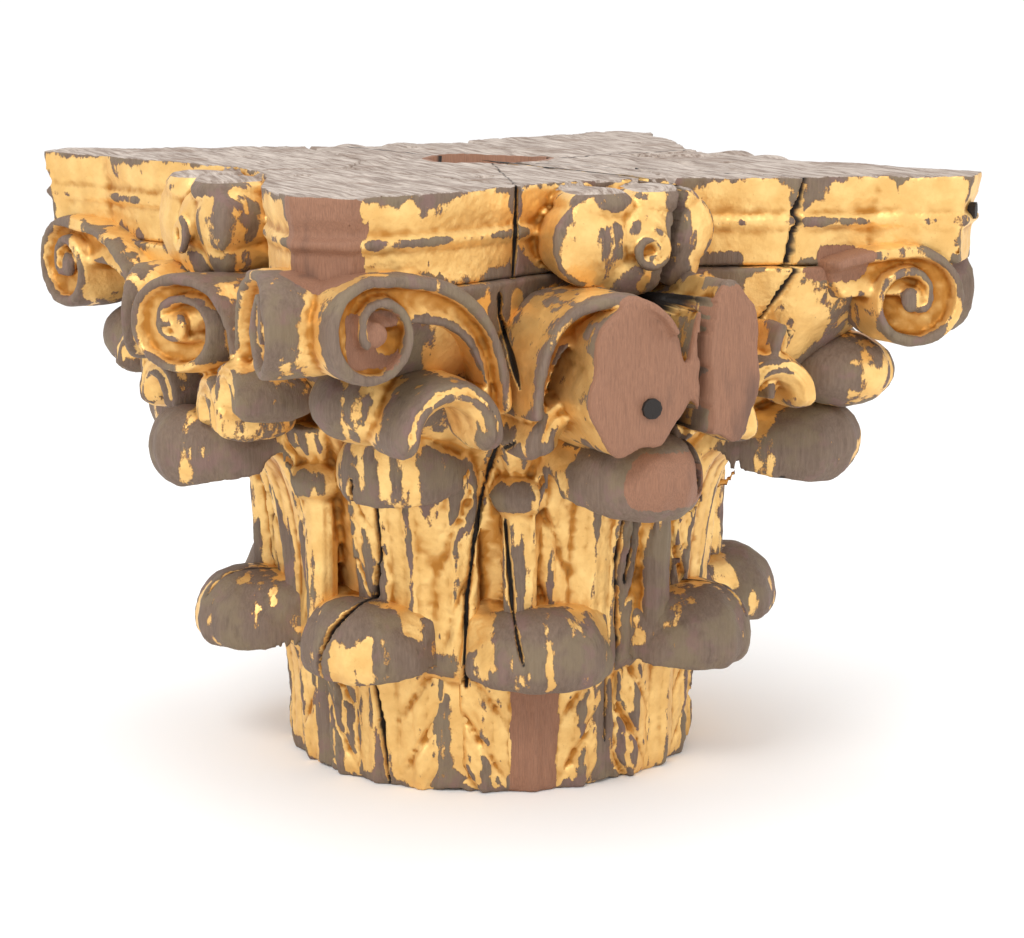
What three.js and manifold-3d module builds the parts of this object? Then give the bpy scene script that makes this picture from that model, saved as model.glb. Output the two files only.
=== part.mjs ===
// A carved and gilded wooden corinthian capital: a bell block with two rows of acanthus leaves,
// cauliculi, helices and corner volutes, and a moulded abacus glued on top of it.
// Millimetres, +Z up, the origin at the centre of the underside. The main front looks along -Y.
import * as THREE from 'three';
import { mergeVertices } from 'three/addons/utils/BufferGeometryUtils.js';
import Module from 'manifold-3d';

const wasm = await Module();
wasm.setup();

// ---------------------------------------------------------------- driving dimensions
const HEIGHT = 440;              // underside to top
const JOINT_Z = 378;             // the glued joint between bell and abacus
const UNDER = 5;                 // depth of stock trimmed off level with the underside
const GAP = 0.3;                 // clearance kept between two pieces that touch
const CORNER = 45;               // degrees from a face's middle to its horn
const FACES = [0, 90, 180, 270]; // azimuth of each face: 0 is the main front (-Y), 90 is +X

const ABACUS = {
  middleDepth: 188,              // axis to the side, at the middle of a face
  endDepth: 240,                 // axis to the side, beside a horn
  sweep: 185,                    // half length of the hollow part of a side
  horn: 362,                     // axis to a horn's cut-off end
  wornHorn: 324,                 // the same on the front left horn, which has lost its tip
  chamfer: 20,                   // half width of a horn's cut-off end
};
const MOULDING = [               // height below the top, and how far it steps back
  [0, 0], [25, 7], [29, 3], [34, 3], [36, 7], [HEIGHT - JOINT_Z - GAP, 8],
];
const FLEURON = { halfWidth: 62, z: 404, halfHeight: 37, depth: 245, lobes: 5, lobeDepth: 0.14 };
const SOCKET = { x: 10, y: 25, across: 90 };

const BELL = [                   // height, radius at a face's middle, radius at a corner
  [-UNDER, 147, 147], [130, 149, 151], [240, 161, 182],
  [280, 166, 226], [312, 172, 262], [345, 180, 290], [JOINT_Z, 186, 312],
];

// Leaf sections: radius and height, round the outside of the leaf and back into the bell.
const LOWER_SECTION = [
  [125, -UNDER], [153, -UNDER], [157, 68], [171, 95], [190, 99], [208, 84],
  [224, 108], [214, 132], [190, 141], [125, 135],
];
const UPPER_SECTION = [
  [130, 90], [164, 90], [171, 180], [188, 230], [214, 247], [240, 238],
  [257, 218], [273, 226], [282, 245], [262, 274], [130, 266],
];
const LOWER = { body: 157, tip: 224, bodyHalf: 56, hoodHalf: 52, hoodZ: 109, flute: 5 };
const UPPER = { body: 176, tip: 282, bodyHalf: 52, hoodHalf: 48, hoodZ: 246, flute: 5 };
const LOWER_TURN = -13.5;        // azimuth of the lower leaf nearest the main front
const LOWER_WORN = { 0: 205, 1: 216, 7: 203 };       // how far the worn lower leaves reach, by number
const UPPER_WORN = { 0: 290, 270: 266, 315: 220 };   // how far the odd upper leaves reach, by azimuth
const LEAF_COLUMNS = 6;          // steps across a leaf
const BACK_COLUMNS = 4;          // the same on the plainer back

const CAULICULUS = {
  turn: 18, radius: 159, foot: 120, footRadius: 11, stalk: 12,
  ball: 222, ballRadius: 20, ballHalf: 14, neck: 13, cup: 25, rise: 40,
};
const VOLUTE = {                 // out: the roll's centre from a face's middle; lean: slope of the front
  out: 203, z: 355, radius: 36, root: [96, 288], front: 262, lean: 0.2,
  back: 228, rootBack: 170, sink: 8, fillet: 8,
};
const HELIX = {
  out: 37, z: 337, radius: 36, root: [92, 290], front: 276, lean: -0.45,
  back: 200, rootBack: 170, sink: 9, fillet: 8,
};
const FAR_VOLUTE = { ...VOLUTE, out: 213, front: 266 };
const LOW_HELIX = { ...HELIX, out: 42, front: 264, lean: -0.55 };
const CALYX = {
  corner: { out: 102, z: 289, inner: 13, outer: 32, front: 250, back: 190 },
  large: { out: 146, z: 281, inner: 20, outer: 41, front: 256, back: 190 },
  middle: { out: 54, z: 270, inner: 0, outer: 37, front: 247, back: 185 },
};
const LOBE = { radius: 266, z: 298, long: 40, half: 36, high: 28 };
const CALYX_SWING = [-20, 205];  // degrees of arch, from the cup over to the curled tip
const VOLUTE_BREAK = [           // what the front right volute has lost, as outlines in s and z
  [[104, 240], [134, 240], [150, 352], [134, 400], [104, 400]],
  [[104, 240], [190, 240], [172, 340], [150, 372], [104, 372]],
];
const STUMPS = [                 // flat breaks where the main front's helices have gone
  { s: -29, z: 317, halfWidth: 36, halfHeight: 50 },
  { s: 36, z: 324, halfWidth: 27, halfHeight: 52 },
];
const STUMP = { sides: 12, back: 170, front: 290, armFront: 284, armSink: 22 };
const TIP_CUT = { halfWidth: 70, bottom: 195, top: 264, depth: 278, clear: 310 };
const SPLIT = { turn: -15.5, halfWidth: 16, depth: 143, top: 80 };
const HELIX_PEG = { azimuth: 0, s: -22, z: 299, surface: 290, radius: 7, length: 25, proud: 3 };
const HORN_PEG = { azimuth: 45, s: 0, z: 414, surface: 358, radius: 6, length: 25, proud: 3 };
const LOBE_SHIFT = { 270: -14, 180: 14 };  // the worn front left corner, and the back left one
const CRACK = { turn: 10, width: 6, bell: [14, 290, 236], abacus: [31, 245, JOINT_Z - 20] };

// ---------------------------------------------------------------- small helpers
const rad = THREE.MathUtils.degToRad;
const lerp = THREE.MathUtils.lerp;

/** A point at an azimuth, a radius from the axis and a height. */
function onRay(azimuth, radius, z) {
  return new THREE.Vector3(radius * Math.sin(rad(azimuth)), -radius * Math.cos(rad(azimuth)), z);
}

/** A point on a face: s to its right, depth outwards from the axis, and a height. */
function onFace(azimuth, s, depth, z) {
  const sin = Math.sin(rad(azimuth));
  const cos = Math.cos(rad(azimuth));
  return new THREE.Vector3(depth * sin + s * cos, s * sin - depth * cos, z);
}

/** Linear look-up of a column of a table whose first column is the key. */
function lookUp(table, key, column) {
  const last = table.length - 1;
  if (key <= table[0][0]) return table[0][column];
  for (let i = 1; i <= last; i += 1) {
    if (key <= table[i][0]) {
      const t = (key - table[i - 1][0]) / (table[i][0] - table[i - 1][0]);
      return lerp(table[i - 1][column], table[i][column], t);
    }
  }
  return table[last][column];
}

/** Moves every vertex of a geometry by a function of its position. */
function reshape(geometry, move) {
  const position = geometry.getAttribute('position');
  const point = new THREE.Vector3();
  for (let i = 0; i < position.count; i += 1) {
    point.fromBufferAttribute(position, i);
    const moved = move(point.x, point.y, point.z);
    position.setXYZ(i, moved.x, moved.y, moved.z);
  }
  return geometry;
}

/** Turns a closed geometry into a manifold solid with its faces outwards. */
function solid(geometry) {
  geometry.deleteAttribute('normal');
  geometry.deleteAttribute('uv');
  const merged = mergeVertices(geometry, 1e-4);
  const vertProperties = new Float32Array(merged.getAttribute('position').array);
  const triVerts = new Uint32Array(merged.index.array);
  if (signedVolume(vertProperties, triVerts) < 0) triVerts.reverse();
  return new wasm.Manifold(new wasm.Mesh({ numProp: 3, vertProperties, triVerts }));
}

/** Signed volume of a closed triangle mesh: negative where it is inside out. */
function signedVolume(vertices, triangles) {
  const corner = (i) => new THREE.Vector3().fromArray(vertices, 3 * triangles[i]);
  let volume = 0;
  for (let i = 0; i < triangles.length; i += 3) {
    volume += corner(i).dot(corner(i + 1).cross(corner(i + 2))) / 6;
  }
  return volume;
}

function outline(points) {
  return new THREE.Shape(points.map(([x, y]) => new THREE.Vector2(x, y)));
}

/** Extrudes an outline by a length of 1 in a number of steps, then reshapes it. */
function sweep(points, steps, move) {
  const options = { depth: 1, steps, bevelEnabled: false };
  return solid(reshape(new THREE.ExtrudeGeometry(outline(points), options), move));
}

/** A slab with an outline in a face's s and z, between two depths. */
function faceSlab(azimuth, points, back, front) {
  return sweep(points, 1, (s, z, t) => onFace(azimuth, s, lerp(back, front, t), z));
}

/** Points round an ellipse, with an optional number of lobes. */
function ring(count, centreX, centreY, halfX, halfY, lobes = 0, lobeDepth = 0) {
  return Array.from({ length: count }, (_, i) => {
    const angle = (2 * Math.PI * i) / count;
    const swell = 1 - lobeDepth * (0.5 - 0.5 * Math.cos(lobes * angle));
    return [centreX + halfX * swell * Math.cos(angle), centreY + halfY * swell * Math.sin(angle)];
  });
}

function join(solids) {
  return solids.reduce((all, next) => all.add(next));
}

// ---------------------------------------------------------------- abacus
/** Distance from the axis plane to the abacus's side at s from the middle of a face. */
function sideDepth(s) {
  const t = Math.min(1, Math.abs(s) / ABACUS.sweep);
  return lerp(ABACUS.middleDepth, ABACUS.endDepth, Math.sin(t * Math.PI / 2) ** 2);
}

/** The abacus's outline seen from above, with hollow sides and cut-off horns. */
function plan(grow) {
  const points = [];
  FACES.forEach((azimuth) => {
    for (const fraction of [-1, -0.75, -0.5, -0.25, 0, 0.25, 0.5, 0.75, 1]) {
      const s = fraction * ABACUS.sweep;
      const point = onFace(azimuth, s, sideDepth(s) + grow, 0);
      points.push([point.x, point.y]);
    }
    const horn = (azimuth === 270 ? ABACUS.wornHorn : ABACUS.horn) + grow;
    for (const side of [-1, 1]) {
      const point = onFace(azimuth + CORNER, side * ABACUS.chamfer, horn, 0);
      points.push([point.x, point.y]);
    }
  });
  return points;
}

/** The moulded slab. A positive grow gives the cutter that clears it from the bell. */
function abacusSlab(grow) {
  const levels = MOULDING.length - 1;
  return sweep(plan(grow), levels, (x, y, t) => {
    const [drop, inset] = MOULDING[Math.round(t * levels)];
    const lower = t > 0.99 ? grow : 0;
    const shrink = 1 - inset / Math.hypot(x, y);
    return new THREE.Vector3(x * shrink, y * shrink, HEIGHT - drop - lower);
  });
}

/** The leafy ornament at the middle of a side: a lobed boss with a small curl on it. */
function fleuron(azimuth, grow) {
  const { halfWidth, z, halfHeight, depth, lobes, lobeDepth } = FLEURON;
  const boss = sweep(ring(15, 0, 0, halfWidth, halfHeight, lobes, lobeDepth), 2, (x, y, t) => {
    const taper = t > 0.9 ? 0.72 : 1;
    const level = [0, depth - 24, depth - 6][Math.round(2 * t)];
    const front = t > 0.1 ? level + grow : ABACUS.middleDepth - 40;
    const rise = Math.min(z + (y * taper) * (1 + grow / halfHeight), HEIGHT);
    return onFace(azimuth, x * taper * (1 + grow / halfWidth), front, rise);
  });
  const curl = faceSlab(azimuth, ring(8, 2, z - 11, 14 + grow, 14 + grow), depth - 30, depth + grow);
  return boss.add(curl);
}

function abacusBody(grow) {
  return join([abacusSlab(grow), ...FACES.map((azimuth) => fleuron(azimuth, grow))]);
}

/** The rough octagonal mortise, right through the abacus. */
function socket() {
  const radius = SOCKET.across / 2 / Math.cos(rad(22.5));
  const points = Array.from({ length: 8 }, (_, i) => {
    const angle = rad(22.5 + 45 * i);
    return [SOCKET.x + radius * Math.cos(angle), SOCKET.y + radius * Math.sin(angle)];
  });
  return sweep(points, 1, (x, y, t) => new THREE.Vector3(x, y, lerp(JOINT_Z - 5, HEIGHT + 5, t)));
}

// ---------------------------------------------------------------- bell
/** Radius of the bare bell: round below, drawn out towards the horns above. */
function bellRadius(azimuth, z) {
  const web = Math.abs(Math.sin(rad(2 * azimuth))) ** 3;
  return lerp(lookUp(BELL, z, 1), lookUp(BELL, z, 2), web);
}

function bellCore() {
  const rings = BELL.map(([z]) => new THREE.Vector2(1, z));
  const profile = [new THREE.Vector2(0, -UNDER), ...rings, new THREE.Vector2(0, JOINT_Z)];
  return solid(reshape(new THREE.LatheGeometry(profile, 24), (x, z, y) => {
    const azimuth = THREE.MathUtils.radToDeg(Math.atan2(x, -y));
    return onRay(azimuth, Math.hypot(x, y) > 0.5 ? bellRadius(azimuth, z) : 0, z);
  }));
}

/** One acanthus leaf: a fluted body up the bell and a hood that hangs over at the top. */
function leaf(section, form, azimuth, reach) {
  const columns = Math.cos(rad(azimuth)) < -0.2 ? BACK_COLUMNS : LEAF_COLUMNS;
  const shorten = (reach - form.body) / (form.tip - form.body);
  return sweep(section, columns, (sectionRadius, sectionZ, t) => {
    const u = 2 * t - 1;
    const round = Math.sqrt(1 - 0.9 * u * u);
    const out = Math.max(0, (sectionRadius - form.body) / (form.tip - form.body));
    const groove = form.flute * (0.5 - 0.5 * Math.cos(3 * Math.PI * u)) * Math.max(0, 1 - 3 * out);
    const isSkin = sectionRadius > 135;
    const body = sectionRadius - (isSkin ? groove : 0);
    const hood = form.body + (sectionRadius - form.body) * round * shorten;
    const radius = out > 0 ? hood : body;
    const halfWidth = lerp(form.bodyHalf, form.hoodHalf, Math.min(1, out));
    const squeeze = lerp(1, round, Math.min(1, 1.5 * out));
    const z = form.hoodZ + (sectionZ - form.hoodZ) * squeeze;
    const turn = THREE.MathUtils.radToDeg((u * halfWidth) / Math.max(radius, form.body));
    return onRay(azimuth + turn, radius, z);
  });
}

/** The stalk between two upper leaves, with its ball and the cup that the scrolls spring from. */
function cauliculus(azimuth) {
  const { radius, foot, footRadius, stalk, ball, ballRadius, ballHalf, neck, cup, rise } = CAULICULUS;
  const profile = [
    [0, foot], [footRadius, foot], [stalk, ball - ballHalf], [ballRadius, ball], [neck, ball + ballHalf],
    [cup, ball + rise], [0, ball + rise],
  ].map(([r, z]) => new THREE.Vector2(r, z));
  const centre = onRay(azimuth, radius, 0);
  return solid(reshape(new THREE.LatheGeometry(profile, 6), (x, z, y) => (
    new THREE.Vector3(centre.x + x, centre.y + y, z))));
}

/** Points of a scroll's outer edge: up the arm, over the top and round the roll, winding inwards. */
function scrollEdge(form, armSteps, turns, turnSteps, inwards) {
  const top = new THREE.Vector2(form.out, form.z + form.radius);
  const root = new THREE.Vector2(...form.root);
  const arm = new THREE.CubicBezierCurve(
    root, new THREE.Vector2(root.x, lerp(root.y, top.y, 0.75)),
    new THREE.Vector2(lerp(root.x, top.x, 0.35), top.y), top);
  const points = [];
  for (let i = 0; i < armSteps; i += 1) {
    const at = arm.getPoint(i / armSteps);
    const along = arm.getTangent(i / armSteps);
    const turn = Math.sign(form.out - root.x);
    points.push([at.x + turn * along.y * inwards, at.y - turn * along.x * inwards]);
  }
  for (let i = 0; i <= turnSteps; i += 1) {
    const t = i / turnSteps;
    const angle = Math.PI / 2 - Math.sign(form.out - root.x) * 2 * Math.PI * turns * t;
    const distance = form.radius * (turns > 1 ? lerp(1, 0.36, t) : 1) - inwards;
    points.push([form.out + distance * Math.cos(angle), form.z + distance * Math.sin(angle)]);
  }
  return points;
}

/** Depth of a scroll's flat front at s: it leans, so that the roll stands out furthest. */
function scrollFront(form, s) {
  return form.front + form.lean * (Math.abs(s) - form.out);
}

/** A scroll: a roll with its arm, cut from one slab, with a raised fillet that winds inwards. */
function scroll(azimuth, side, form, plain) {
  const place = (sink, backset) => (s, z, t) => {
    const away = Math.min(1, Math.abs(s - form.out) / 90);
    const back = lerp(form.back, form.rootBack, away) + backset;
    return onFace(azimuth, side * s, lerp(back, scrollFront(form, s) - sink, t), z);
  };
  if (plain) return sweep(scrollEdge(form, 2, 0.62, 4, 0), 1, place(0, 0));
  const slab = sweep(scrollEdge(form, 2, 0.62, 4, form.fillet / 2), 1, place(form.sink, 1));
  const outer = scrollEdge(form, 2, 1.3, 8, 0);
  const inner = scrollEdge(form, 2, 1.3, 8, form.fillet).reverse();
  const fillet = sweep([...outer, ...inner], 1, place(0, 0));
  return slab.add(fillet);
}

/** A calyx leaf: an arched band that springs from the cauliculus and curls over. */
function calyxLeaf(azimuth, side, form) {
  const { out, z, inner, outer } = form;
  const count = 5;
  const arc = (radius, i) => {
    const angle = rad(lerp(...CALYX_SWING, i / count));
    const away = form === CALYX.middle ? 1 : -1;
    return [side * (out + away * radius * Math.cos(angle)), z + radius * Math.sin(angle)];
  };
  const outerArc = Array.from({ length: count + 1 }, (_, i) => arc(outer, i));
  const innerArc = inner ? Array.from({ length: count + 1 }, (_, i) => arc(inner, count - i)) : [];
  return sweep([...outerArc, ...innerArc], 1, (s, height, t) => {
    const turnedUnder = Math.abs(s) - out;
    return onFace(azimuth, s, lerp(form.back, form.front + 0.1 * turnedUnder, t), height);
  });
}

/** The rounded leaf end under a pair of corner volutes. */
function cornerLobe(azimuth, radius) {
  const ball = new THREE.SphereGeometry(1, 8, 5);
  return solid(reshape(ball, (x, y, z) => (
    onFace(azimuth, LOBE.half * x, radius + LOBE.long * y, LOBE.z + LOBE.high * z))));
}

/** A narrow upright slot into the main front, from s, depth and height: the open crack. */
function crack([s, frontDepth, bottom]) {
  const length = frontDepth - 170;
  const slot = new THREE.BoxGeometry(CRACK.width, length, HEIGHT + 5 - bottom);
  slot.translate(0, length / 2 - 15, 0).rotateZ(-rad(CRACK.turn));
  return solid(slot.translate(s, -frontDepth, (HEIGHT + 5 + bottom) / 2));
}

/** The front right volute: its arm has broken away between a stub and the roll. */
function brokenVolute() {
  const missing = VOLUTE_BREAK.map((lost) => faceSlab(0, lost, VOLUTE.rootBack - 20, VOLUTE.front + 40));
  return scroll(0, 1, VOLUTE).subtract(join(missing));
}

/** The helices of the main front: arms only, with flat bare wood where the spirals have gone. */
function brokenHelices() {
  const arm = scroll(0, -1, { ...HELIX, front: STUMP.armFront, sink: STUMP.armSink });
  const stumps = STUMPS.map(({ s, z, halfWidth, halfHeight }) => (
    faceSlab(0, ring(STUMP.sides, s, z, halfWidth, halfHeight), STUMP.back, STUMP.front)));
  return join([arm, ...stumps]);
}

/** Everything that springs from one cauliculus: its calyx leaves, its volute and its helix. */
function springing(azimuth, side) {
  const isFront = azimuth === FACES[0];
  const isBack = azimuth === FACES[2];
  const isLeft = azimuth === FACES[3];
  const parts = [cauliculus(azimuth + side * CAULICULUS.turn)];
  parts.push(calyxLeaf(azimuth, side, isFront && side < 0 ? CALYX.large : CALYX.corner));
  if (!isBack) parts.push(calyxLeaf(azimuth, side, CALYX.middle));
  if (isFront && side > 0) parts.push(brokenVolute());
  else parts.push(scroll(azimuth, side, isLeft && side < 0 ? FAR_VOLUTE : VOLUTE, isBack));
  if (!isFront) parts.push(scroll(azimuth, side, isLeft ? LOW_HELIX : HELIX, isBack));
  return parts;
}

/** The middle upper leaf of the main front has its tip cut off flat. */
function cutTip() {
  const { halfWidth, bottom, top, depth, clear } = TIP_CUT;
  const outline = [[-halfWidth, bottom], [halfWidth, bottom], [halfWidth, top], [-halfWidth, top]];
  return faceSlab(0, outline, depth, clear);
}

/** The strip split away from the middle of the lower leaf nearest the main front. */
function splitBody() {
  const { turn, halfWidth, depth, top } = SPLIT;
  const bottom = -2 * UNDER;
  const outline = [[-halfWidth, bottom], [halfWidth, bottom], [halfWidth * 0.6, top], [-halfWidth, top]];
  return faceSlab(turn, outline, depth, depth + 40);
}

/** A wooden peg: a cylinder out of its hole by a little. A positive grow gives its hole. */
function peg({ azimuth, s, z, surface, radius, length, proud }, grow) {
  const start = surface - length - grow;
  const end = surface + proud + (grow > 0 ? 10 : 0);
  return faceSlab(azimuth, ring(10, s, z, radius + grow, radius + grow), start, end);
}

// ---------------------------------------------------------------- the bell, carved
function bell() {
  const parts = [bellCore()];
  for (let i = 0; i < 8; i += 1) {
    const lower = LOWER_TURN + 45 * i;
    parts.push(leaf(LOWER_SECTION, LOWER, lower, LOWER_WORN[i] ?? LOWER.tip));
    const upper = 45 * i;
    parts.push(leaf(UPPER_SECTION, UPPER, upper, UPPER_WORN[upper] ?? UPPER.tip));
  }
  FACES.forEach((azimuth) => {
    parts.push(cornerLobe(azimuth + CORNER, LOBE.radius + (LOBE_SHIFT[azimuth] ?? 0)));
    for (const side of [-1, 1]) parts.push(...springing(azimuth, side));
  });
  parts.push(brokenHelices());
  const whole = join(parts);
  const trim = new THREE.BoxGeometry(400, 400, 2 * UNDER).translate(0, 0, -UNDER);
  return whole
    .subtract(solid(trim))
    .subtract(abacusBody(GAP + 0.05))
    .subtract(crack(CRACK.bell))
    .subtract(cutTip())
    .subtract(splitBody())
    .subtract(peg(HELIX_PEG, GAP));
}

function abacus() {
  return abacusBody(0)
    .subtract(socket())
    .subtract(crack(CRACK.abacus))
    .subtract(peg(HORN_PEG, GAP));
}

// ---------------------------------------------------------------- the scene graph
const GILDED = { color: 0xc8973f, roughness: 0.45, metalness: 0.6 };
const BARE = { color: 0x7d5a42, roughness: 0.85, metalness: 0 };

/** A named mesh from a solid. */
function mesh(name, body, finish) {
  const result = body.getMesh();
  const geometry = new THREE.BufferGeometry();
  geometry.setAttribute('position', new THREE.BufferAttribute(result.vertProperties, 3));
  geometry.setIndex(new THREE.BufferAttribute(result.triVerts, 1));
  const node = new THREE.Mesh(geometry, new THREE.MeshStandardMaterial(finish));
  node.name = name;
  return node;
}

const capital = new THREE.Group();
capital.add(mesh('bell', bell(), GILDED));
capital.add(mesh('abacus', abacus(), GILDED));
capital.add(mesh('helix_peg', peg(HELIX_PEG, 0), BARE));
capital.add(mesh('horn_peg', peg(HORN_PEG, 0), BARE));

export default capital;
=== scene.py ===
# %% [markdown]
# # A carved and gilded Corinthian capital
# A carver shapes such a capital from blocks of wood: a bell with two rows of acanthus leaves, scrolls that
# spring from stalks between them, and a flat abacus on top. It is then covered with gesso, red clay and
# gold leaf. This one is old: the gold has worn off whatever stands out, and the wood has split.
# The lesson builds each form from plain bmesh operators, melts them into one skin, carves the fine lines
# into that skin, and paints the gold and its wear with shader nodes.

# %% Load the frame
import math

import bmesh
import bpy
import numpy as np
from mathutils import Matrix, Vector


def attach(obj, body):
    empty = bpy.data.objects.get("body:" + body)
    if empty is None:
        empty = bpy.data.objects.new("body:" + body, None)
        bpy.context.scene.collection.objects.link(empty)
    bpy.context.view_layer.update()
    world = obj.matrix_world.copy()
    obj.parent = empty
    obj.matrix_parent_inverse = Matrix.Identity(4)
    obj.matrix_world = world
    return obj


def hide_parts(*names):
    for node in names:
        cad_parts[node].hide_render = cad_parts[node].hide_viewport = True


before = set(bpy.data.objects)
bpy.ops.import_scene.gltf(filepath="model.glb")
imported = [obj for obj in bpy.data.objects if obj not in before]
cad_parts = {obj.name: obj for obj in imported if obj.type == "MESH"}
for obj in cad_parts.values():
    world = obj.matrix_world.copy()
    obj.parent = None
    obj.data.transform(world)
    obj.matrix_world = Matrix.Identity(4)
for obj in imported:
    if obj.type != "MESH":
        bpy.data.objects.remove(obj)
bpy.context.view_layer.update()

# %% [markdown]
# ## Places on the capital
# Carvers lay out a capital by faces and rays. A ray leaves the axis at an angle, with 0 at the main front
# and 90 at its right. A face has a distance across it and a depth out from the axis. Both helpers below
# take millimetres, work on whole arrays of numbers at once, and give points in metres.

# %% Rays and faces
MM = 0.001


def on_ray(azimuth, radius, z):
    """Points at a distance from the axis, in metres."""
    a = np.radians(azimuth)
    parts = np.broadcast_arrays(radius * np.sin(a), -radius * np.cos(a), z)
    return np.stack(parts, axis=-1) * MM


def on_face(azimuth, across, depth, z):
    """Points in front of one face, in metres."""
    a = math.radians(azimuth)
    x = depth * math.sin(a) + across * math.cos(a)
    y = across * math.sin(a) - depth * math.cos(a)
    return np.stack(np.broadcast_arrays(x, y, z), axis=-1) * MM


def blend(a, b, t):
    """A value part of the way from a to b."""
    return a + (b - a) * np.clip(t, 0, 1)


def smooth(low, high, x):
    """0 below low, 1 above high, and an easy curve between."""
    t = np.clip((x - low) / (high - low), 0, 1)
    return t * t * (3 - 2 * t)


def waves(points, size, seed):
    """Soft hand-made unevenness between -1 and 1, from a few crossing waves about size millimetres long."""
    rng = np.random.default_rng(seed)
    total = np.zeros(len(points))
    for _ in range(7):
        direction = rng.normal(size=3)
        direction *= 2 * math.pi / (size * MM * rng.uniform(0.7, 1.5)) / np.linalg.norm(direction)
        total += np.sin(points @ direction + rng.uniform(0, 2 * math.pi))
    return total / 3.5


# %% [markdown]
# ## Wrapping a ball round a form
# Leaves, scrolls and stalks are all closed forms with two ends. A ball from create_uvsphere is already
# closed, so each form is made by moving the ball's points: the poles become the form's two ends, and the
# rings between them become its cross sections. The skin stays whole whatever shape it takes.

# %% A ball becomes a form
balls = {}


def ball(along, around):
    """A closed ball with that many rings and sides, made once and then copied."""
    if (along, around) not in balls:
        bm = bmesh.new()
        bmesh.ops.create_uvsphere(bm, u_segments=around, v_segments=along, radius=1)
        bmesh.ops.recalc_face_normals(bm, faces=bm.faces)
        mesh = bpy.data.meshes.new("ball")
        bm.to_mesh(mesh)
        bm.free()
        balls[along, around] = mesh
    return balls[along, around].copy()


def wrap(bm, along, around, place):
    """Adds a ball with its points moved to place(t, turn): t runs from pole to pole, turn once round."""
    mesh = ball(along, around)
    at = np.empty(len(mesh.vertices) * 3)
    mesh.vertices.foreach_get("co", at)
    x, y, z = at.reshape(-1, 3).T
    t = np.arccos(np.clip(-z, -1, 1)) / math.pi
    turn = (np.arctan2(y, x) / (2 * math.pi)) % 1
    mesh.vertices.foreach_set("co", place(t, turn).ravel())
    bm.from_mesh(mesh)
    bpy.data.meshes.remove(mesh)


def fullness(t, end):
    """How wide a section is near the ends of a form: it rounds off within a share end of the length."""
    near = np.clip(1 - np.minimum(t, 1 - t) / end, 0, 1)
    return np.sqrt(1 - near * near)


def soft_box(turn, sharp):
    """A box section with rounded corners, as two numbers from -1 to 1."""
    c, s = np.cos(2 * math.pi * turn), np.sin(2 * math.pi * turn)
    size = (np.abs(c) ** sharp + np.abs(s) ** sharp) ** (-1 / sharp)
    return c * size, s * size


def loop_curve(points, turn):
    """A smooth closed curve through the points, with turn from 0 to 1 by its length."""
    p = np.array(points, dtype=float)
    u = np.arange(0, len(p), 1 / 12)
    i, f = u.astype(int), (u % 1)[:, None]
    a, b, c, d = (p[(i + k) % len(p)] for k in (-1, 0, 1, 2))
    curve = 0.5 * (2 * b + (c - a) * f + (2 * a - 5 * b + 4 * c - d) * f**2 + (3 * b - a - 3 * c + d) * f**3)
    curve = np.vstack([curve, curve[:1]])
    length = np.concatenate([[0], np.cumsum(np.linalg.norm(np.diff(curve, axis=0), axis=1))])
    at = turn * length[-1]
    return np.interp(at, length, curve[:, 0]), np.interp(at, length, curve[:, 1])


# %% [markdown]
# ## The bell's core
# Under the leaves the bell is round, and it is drawn out into four webs towards the corners at the top.

# %% Core
HEIGHT = 440
JOINT = 378
BELL = [
    (0, 147, 147), (130, 149, 151), (240, 161, 182), (280, 166, 226), (312, 172, 262), (345, 180, 290),
    (JOINT, 186, 312),
]  # height, radius at a face, radius at a corner


def bell_radius(azimuth, z):
    """Radius of the bare bell."""
    heights, at_face, at_corner = zip(*BELL)
    web = np.abs(np.sin(np.radians(2 * azimuth))) ** 3
    return blend(np.interp(z, heights, at_face), np.interp(z, heights, at_corner), web)


def core(bm, top, shrink):
    """The bare bell up to a height, a little smaller by shrink."""

    def place(t, turn):
        z = np.interp(t, [0, 0.12, 0.88, 1], [0, 0, top, top])
        full = np.interp(t, [0, 0.12, 0.88, 1], [0, 1, 1, 0])
        azimuth = 360 * turn
        flutes = 2.5 * np.sin(np.radians(azimuth * 16)) * smooth(300, 200, z)
        return on_ray(azimuth, full * (bell_radius(azimuth, z) - shrink + flutes), z)

    wrap(bm, 90, 192, place)


# %% [markdown]
# ## Acanthus leaves
# Each leaf is one outline swept across its width: up the bell, over a hood that hangs forward, and back
# inside the core. The body carries the carver's work: broad flutes, fine veins beside them, and slanting
# cuts that divide its sides into lobes.

# %% Leaf outlines and carving
LOWER = {
    "outline": [(128, 0), (152, 0), (155, 40), (157, 68), (161, 86), (171, 96), (182, 99), (194, 97),
                (204, 87), (214, 85), (223, 95), (224, 110), (218, 127), (206, 138), (190, 142), (165, 140), (128, 130)],
    "body": 157, "tip": 224, "body_half": 56, "hood_half": 57, "hood_z": 109,
    "lip": 96, "flute": 5, "foot": 0,
}
UPPER = {
    "outline": [(130, 92), (160, 90), (166, 130), (171, 180), (178, 212), (190, 233), (205, 244), (222, 246),
                (240, 238), (250, 221), (262, 217), (275, 227), (282, 245), (277, 262), (262, 273), (235, 273),
                (190, 268), (130, 264)],
    "body": 176, "tip": 282, "body_half": 52, "hood_half": 50, "hood_z": 246,
    "lip": 236, "flute": 5, "foot": 90,
}


def lobes(u, rise):
    """Depth of the slanting cuts at the sides of a leaf: u across from -1 to 1, rise up its body."""
    side = smooth(0.3, 0.55, np.abs(u))
    phase = (rise * 2.6 - np.abs(u) * 1.9) % 1
    cut = np.exp(-(((phase - 0.5) / 0.10) ** 2))
    vein = np.exp(-((((phase * 3) % 1 - 0.5) / 0.16) ** 2))
    return side * (5.0 * cut + 1.3 * vein)


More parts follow.
